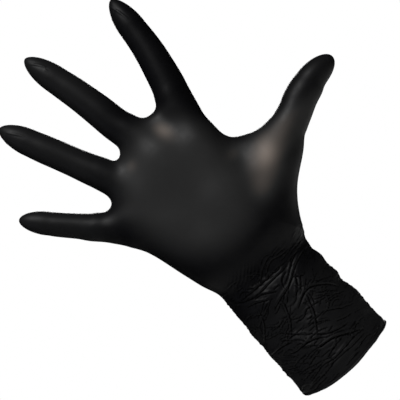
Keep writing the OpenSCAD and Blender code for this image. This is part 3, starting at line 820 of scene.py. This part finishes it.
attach(film["cuff"], "cuff")
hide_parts("cuff")
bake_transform(film["wrist"])
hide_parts("wrist_film")
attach(film["hand"], "palm")
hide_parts("palm_front", "palm_back")
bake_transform(film["thumb_ball"], "palm", "thumb_base",
         start=at(THUMB_CORNER, THUMB_WAY, 0), end=at(THUMB_CORNER, THUMB_WAY, THUMB_ZONE))
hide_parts("thumb_root_film", "thumb_base")
place, way = joint_line("thumb_middle")
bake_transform(film["thumb_knuckle"], "thumb_base", "thumb_middle",
         start=at(place, way, -5.6), end=at(place, way, 6.4))
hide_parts("thumb_middle_film", "thumb_middle")
place, way = joint_line("thumb_end")
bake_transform(film["thumb_end"], "thumb_middle", "thumb_tip", start=at(place, way, -6.4), end=at(place, way, 6.4))
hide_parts("thumb_end_film", "thumb_tip")

# This far past each finger's root joint a place is worked out. Where that would be inside a web, it is moved just
# past the last point that the finger's film shares with the next finger's film.
ROOT_START, PAST_WEB = -8.8, 0.3
# A second distance past the root joint, and a distance to each side of the middle and end joints, at which places
# are worked out.
LONG_TURNS, LITTLE_TURNS = (10.2, 8.2, 4.4), (6.6, 6.2, 3.1)
FINGER_TURNS = {"index": LONG_TURNS, "middle": LONG_TURNS, "ring": LONG_TURNS, "little": LITTLE_TURNS}
root_points = {name: np.unique(faces[kind == name + "_root"]) for name in FINGER_NAMES}
for name in FINGER_NAMES:
    root_end, middle_half, end_half = FINGER_TURNS[name]
    others = np.concatenate([root_points[other] for other in FINGER_NAMES if other != name])
    web = points[np.intersect1d(root_points[name], others)]
    place, way = joint_line(name + "_root")
    root_start = max([ROOT_START, *(past_joint(web, name + "_root") + PAST_WEB).tolist()])
    piece = film[name + "_root"]
    at(place, way, root_start)
    at(place, way, root_end)
    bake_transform(piece)
    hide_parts(name + "_root_film", name + "_base")
    for bend, below, above, half in (
        ("_middle", "_base", "_middle", middle_half), ("_end", "_middle", "_tip", end_half),
    ):
        piece = film[name + bend]
        place, way = joint_line(name + bend)
        at(place, way, -half)
        at(place, way, half)
        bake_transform(piece)
        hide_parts(name + bend + "_film", name + above)


def add_bead():
    """The cuff's open edge rolled up on itself: a thin uneven roll that follows the edge all round."""
    angle = np.arctan2(points[rim, 0], -points[rim, 1])
    edge = points[rim[np.argsort(angle)]]
    count, sides = len(edge), BEAD_SIDES
    ahead = np.roll(edge, -1, axis=0) - np.roll(edge, 1, axis=0)
    ahead /= np.linalg.norm(ahead, axis=1)[:, None]
    out = np.cross(ahead, (0, 0, 1.0))
    out /= np.linalg.norm(out, axis=1)[:, None]
    up = np.cross(out, ahead)
    radius = BEAD * (1 + 0.12 * waves(edge, 9, 31) + 0.05 * waves(edge, 3, 32))
    round_it = np.arange(sides) / sides * 2 * np.pi
    # The end of the roll shows as a small step on the outside.
    step = 1 + 0.10 * ((round_it[None, :] / (2 * np.pi) + 0.04 * waves(edge, 14, 33)[:, None]) % 1.0)
    core = edge + up * BEAD_UP
    spoke = out[:, None] * np.cos(round_it)[None, :, None] + up[:, None] * np.sin(round_it)[None, :, None]
    place = (core[:, None] + (radius[:, None] * step)[..., None] * spoke).reshape(-1, 3)
    number = np.arange(count * sides).reshape(count, sides)
    ahead_number = np.roll(number, -1, axis=0)
    quads = [number, np.roll(number, -1, axis=1), np.roll(ahead_number, -1, axis=1), ahead_number]
    quads = np.stack(quads, axis=-1).reshape(-1, 4)
    if (normals_of(place, quads) * (place - np.repeat(core, sides, axis=0))).sum() < 0:
        quads = quads[:, ::-1]
    piece = add_piece("cuff_bead_roll", place, quads, None, bead_material)
    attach(piece, "cuff")
    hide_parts("cuff_bead")


add_bead()

# ---------------------------------------------------------------- floor, lights and camera
TILT = math.radians(42.5)         # the hand leans this far from upright
RIGHT = np.array([math.cos(TILT), 0, -math.sin(TILT)])
UP = np.array([math.sin(TILT), 0, math.cos(TILT)])
AIM = np.array([MIDDLE_SEEN[0], 0, MIDDLE_SEEN[1]]) * MM
CARD_RADIUS, CARD_DROP, CARD_SIDES = 0.7, 0.3, 96     # in metres; the drop is how far the hand is raised over it
SENSOR = 36.0             # width of the camera's sensor
ROOM_GLOW = 0.012         # light from the room round about; the lamps do the rest

card = bpy.data.meshes.new("floor_card")
ring = np.arange(CARD_SIDES) / CARD_SIDES * 2 * np.pi
card.from_pydata([(CARD_RADIUS * math.cos(a), CARD_RADIUS * math.sin(a), -CARD_DROP) for a in ring], [],
                 [list(range(CARD_SIDES))])
card.materials.append(painted_card())
floor = bpy.data.objects.new("floor_card", card)
bpy.context.scene.collection.objects.link(floor)


def add_softbox(name, place, size, power, colour):
    """A square soft light at (right, up, towards the camera) from the glove, in metres, turned to face it."""
    light = bpy.data.lights.new(name, "AREA")
    light.shape = "RECTANGLE"
    light.size, light.size_y = size
    light.energy = power
    light.color = linear(colour)[:3]
    lamp = bpy.data.objects.new(name, light)
    bpy.context.scene.collection.objects.link(lamp)
    away = RIGHT * place[0] + UP * place[1] + np.array([0, -1, 0]) * place[2]
    lamp.location = AIM + away
    lamp.rotation_mode = "QUATERNION"
    lamp.rotation_quaternion = Vector(-away).to_track_quat("-Z", "Y")


add_softbox("key", (-0.52, 0.57, 0.60), (0.4, 0.45), 7.2, "#ffffff")
add_softbox("fill", (-0.7, -0.4, 0.5), (0.4, 0.4), 0.3, "#e6ebff")
add_softbox("behind", (-0.1, 0.25, -1.0), (0.5, 0.5), 7, "#ffffff")

world = bpy.data.worlds.new("studio")
bpy.context.scene.world = world
world.use_nodes = True
world.node_tree.nodes.clear()
path = add_node(world.node_tree, "ShaderNodeLightPath")
backdrop = add_node(world.node_tree, "ShaderNodeBackground", {"Color": linear("#ffffff"), "Strength": 1.0})
room = add_node(world.node_tree, "ShaderNodeBackground", {"Color": linear("#ffffff"), "Strength": ROOM_GLOW})
both = add_node(world.node_tree, "ShaderNodeMixShader", {},
                {0: (path, "Is Camera Ray"), 1: (room, "Background"), 2: (backdrop, "Background")})
add_node(world.node_tree, "ShaderNodeOutputWorld", {}, {"Surface": (both, "Shader")})

lens = bpy.data.cameras.new("camera")
lens.sensor_width = SENSOR
lens.lens = SENSOR * FROM_CAMERA / SEEN
lens.clip_start = 0.01
camera = bpy.data.objects.new("camera", lens)
bpy.context.scene.collection.objects.link(camera)
place = AIM - np.array([0, 1, 0]) * FROM_CAMERA * MM
camera.matrix_world = Matrix([[RIGHT[0], UP[0], 0, place[0]], [RIGHT[1], UP[1], -1, place[1]],
                              [RIGHT[2], UP[2], 0, place[2]], [0, 0, 0, 1]])
bpy.context.scene.camera = camera
bpy.context.scene.view_settings.view_transform = "Standard"

bpy.context.view_layer.update()
